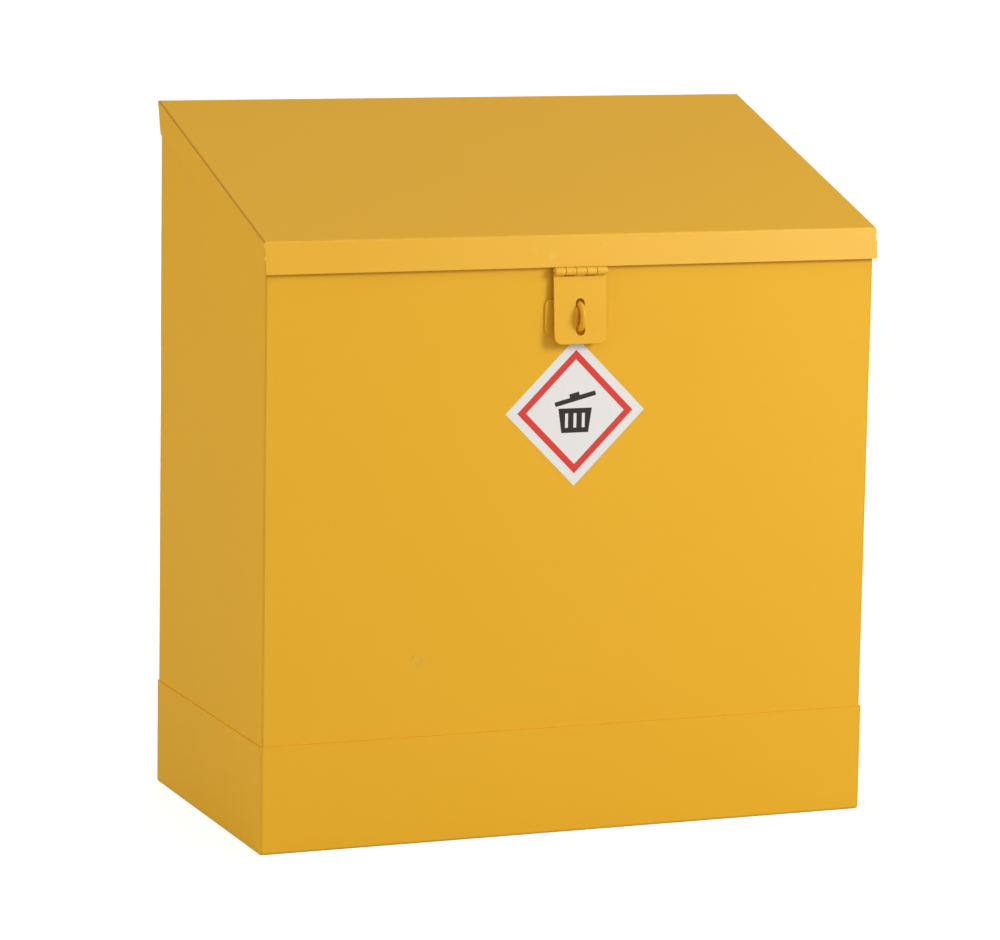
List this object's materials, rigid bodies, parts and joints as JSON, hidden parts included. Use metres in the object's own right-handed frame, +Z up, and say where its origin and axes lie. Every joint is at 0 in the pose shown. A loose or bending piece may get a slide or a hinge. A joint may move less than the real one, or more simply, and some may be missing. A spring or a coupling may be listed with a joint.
{
  "type": "sloping-lid storage bin",
  "caption": "Floor-standing sheet-steel bin for hazardous goods, with a sump tray, a sloping hinged lid, and a hasp that swings over a padlock staple.",
  "frame": {"origin": "on the floor, under the middle of the bin's bounding box", "axes": "+Z up, -Y towards the front with the hasp, +X to the right of someone facing the front"},
  "size_m": [0.906, 0.5022, 0.99],
  "materials": {
    "yellow_paint": "semi-gloss yellow powder coat",
    "plated_steel": "zinc plated",
    "buffer_rubber": "matt black rubber",
    "sign_face": "printed self-adhesive vinyl"
  },
  "bodies": {
    "bin": {"sump_tray": "yellow_paint", "body_wrap": "yellow_paint", "back_panel": "yellow_paint", "front_rim": "yellow_paint", "rear_rim": "yellow_paint", "left_rim": "yellow_paint", "right_rim": "yellow_paint", "lid_buffers": "buffer_rubber", "left_fixed_leaf": "yellow_paint", "centre_fixed_leaf": "yellow_paint", "right_fixed_leaf": "yellow_paint", "left_hinge_pin": "plated_steel", "centre_hinge_pin": "plated_steel", "right_hinge_pin": "plated_steel", "staple_plate": "yellow_paint", "staple_loop": "yellow_paint", "staple_backing_plate": "yellow_paint", "sign_sheet": "sign_face"},
    "lid": {"lid_shell": "yellow_paint", "left_lid_brace": "yellow_paint", "right_lid_brace": "yellow_paint", "left_moving_leaf": "yellow_paint", "centre_moving_leaf": "yellow_paint", "right_moving_leaf": "yellow_paint", "hasp_leaf": "yellow_paint"},
    "hasp": {"hasp_plate": "yellow_paint", "hasp_pin": "plated_steel"}
  },
  "joints": [
    {"name": "lid_hinge", "type": "hinge", "parent": "bin", "child": "lid", "pos_m": [0, 0.24529, 0.98316], "axis": [-1, 0, 0], "range_deg": [0, 110]},
    {"name": "hasp_hinge", "type": "hinge", "parent": "lid", "child": "hasp", "pos_m": [0, -0.23311, 0.7875], "axis": [-1, 0, 0], "range_deg": [-4.5, 175]}
  ]
}
